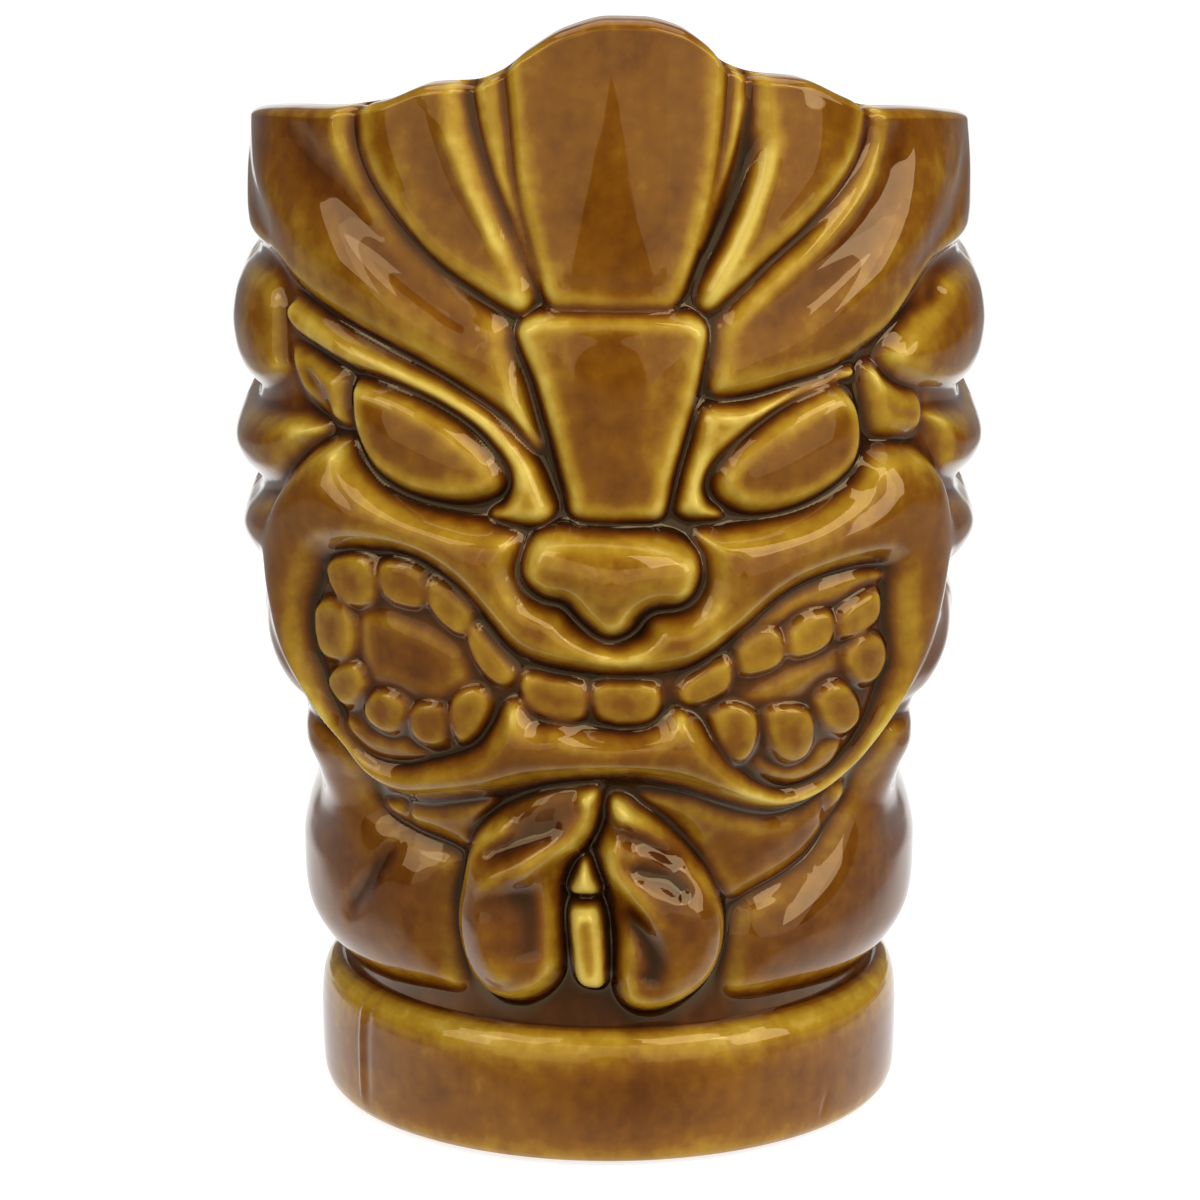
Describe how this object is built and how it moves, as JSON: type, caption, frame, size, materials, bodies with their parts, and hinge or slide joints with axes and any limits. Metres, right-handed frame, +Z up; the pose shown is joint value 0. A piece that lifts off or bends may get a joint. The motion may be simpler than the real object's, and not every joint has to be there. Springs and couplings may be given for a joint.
{
  "type": "tiki mug",
  "caption": "Glazed ceramic drinking mug shaped as a squatting tiki idol with a crested head, bared teeth and folded hands, on a round plinth.",
  "frame": {"origin": "middle of the foot, on the surface that the mug stands on", "axes": "+Z up through the open rim; the face looks along -Y; +X is on the right of someone who looks at the face"},
  "size_m": [0.0978, 0.0964, 0.15],
  "materials": {
    "amber_glaze": "high gloss, translucent amber over a pale body, darker where it pools",
    "bare_clay": "matt unglazed foot ring"
  },
  "bodies": {
    "root": {"vessel": "amber_glaze", "plinth": "amber_glaze", "arm_left": "amber_glaze", "arm_right": "amber_glaze", "back_crest": "amber_glaze", "back_panel": "amber_glaze", "chest_left": "amber_glaze", "chest_right": "amber_glaze", "crest_center": "amber_glaze", "crest_inner_left": "amber_glaze", "crest_inner_right": "amber_glaze", "crest_outer_left": "amber_glaze", "crest_outer_right": "amber_glaze", "crest_rib_left": "amber_glaze", "crest_rib_right": "amber_glaze", "eye_left": "amber_glaze", "eye_right": "amber_glaze", "eyelid_left": "amber_glaze", "eyelid_right": "amber_glaze", "forehead_plate": "amber_glaze", "gum_lower_left": "amber_glaze", "gum_lower_right": "amber_glaze", "gum_upper_right": "amber_glaze", "hand_left": "amber_glaze", "hand_right": "amber_glaze", "lips": "amber_glaze", "lock_left_1": "amber_glaze", "lock_left_2": "amber_glaze", "lock_left_3": "amber_glaze", "lock_left_4": "amber_glaze", "lock_right_1": "amber_glaze", "lock_right_2": "amber_glaze", "lock_right_3": "amber_glaze", "lock_right_4": "amber_glaze", "nose": "amber_glaze", "temple_left": "amber_glaze", "temple_right": "amber_glaze", "thumb_lower": "amber_glaze", "thumb_upper": "amber_glaze", "tongue_left": "amber_glaze", "tongue_right": "amber_glaze", "tooth_front_left": "amber_glaze", "tooth_front_right": "amber_glaze", "tooth_lower_left_1": "amber_glaze", "tooth_lower_left_2": "amber_glaze", "tooth_lower_left_3": "amber_glaze", "tooth_lower_left_4": "amber_glaze", "tooth_lower_right_2": "amber_glaze", "tooth_lower_right_3": "amber_glaze", "tooth_lower_right_4": "amber_glaze", "tooth_side_left": "amber_glaze", "tooth_side_right": "amber_glaze", "tooth_upper_left_1": "amber_glaze", "tooth_upper_left_2": "amber_glaze", "tooth_upper_left_3": "amber_glaze", "tooth_upper_left_4": "amber_glaze", "tooth_upper_right_1": "amber_glaze", "tooth_upper_right_2": "amber_glaze", "tooth_upper_right_3": "amber_glaze", "tooth_upper_right_4": "amber_glaze"}
  },
  "joints": []
}
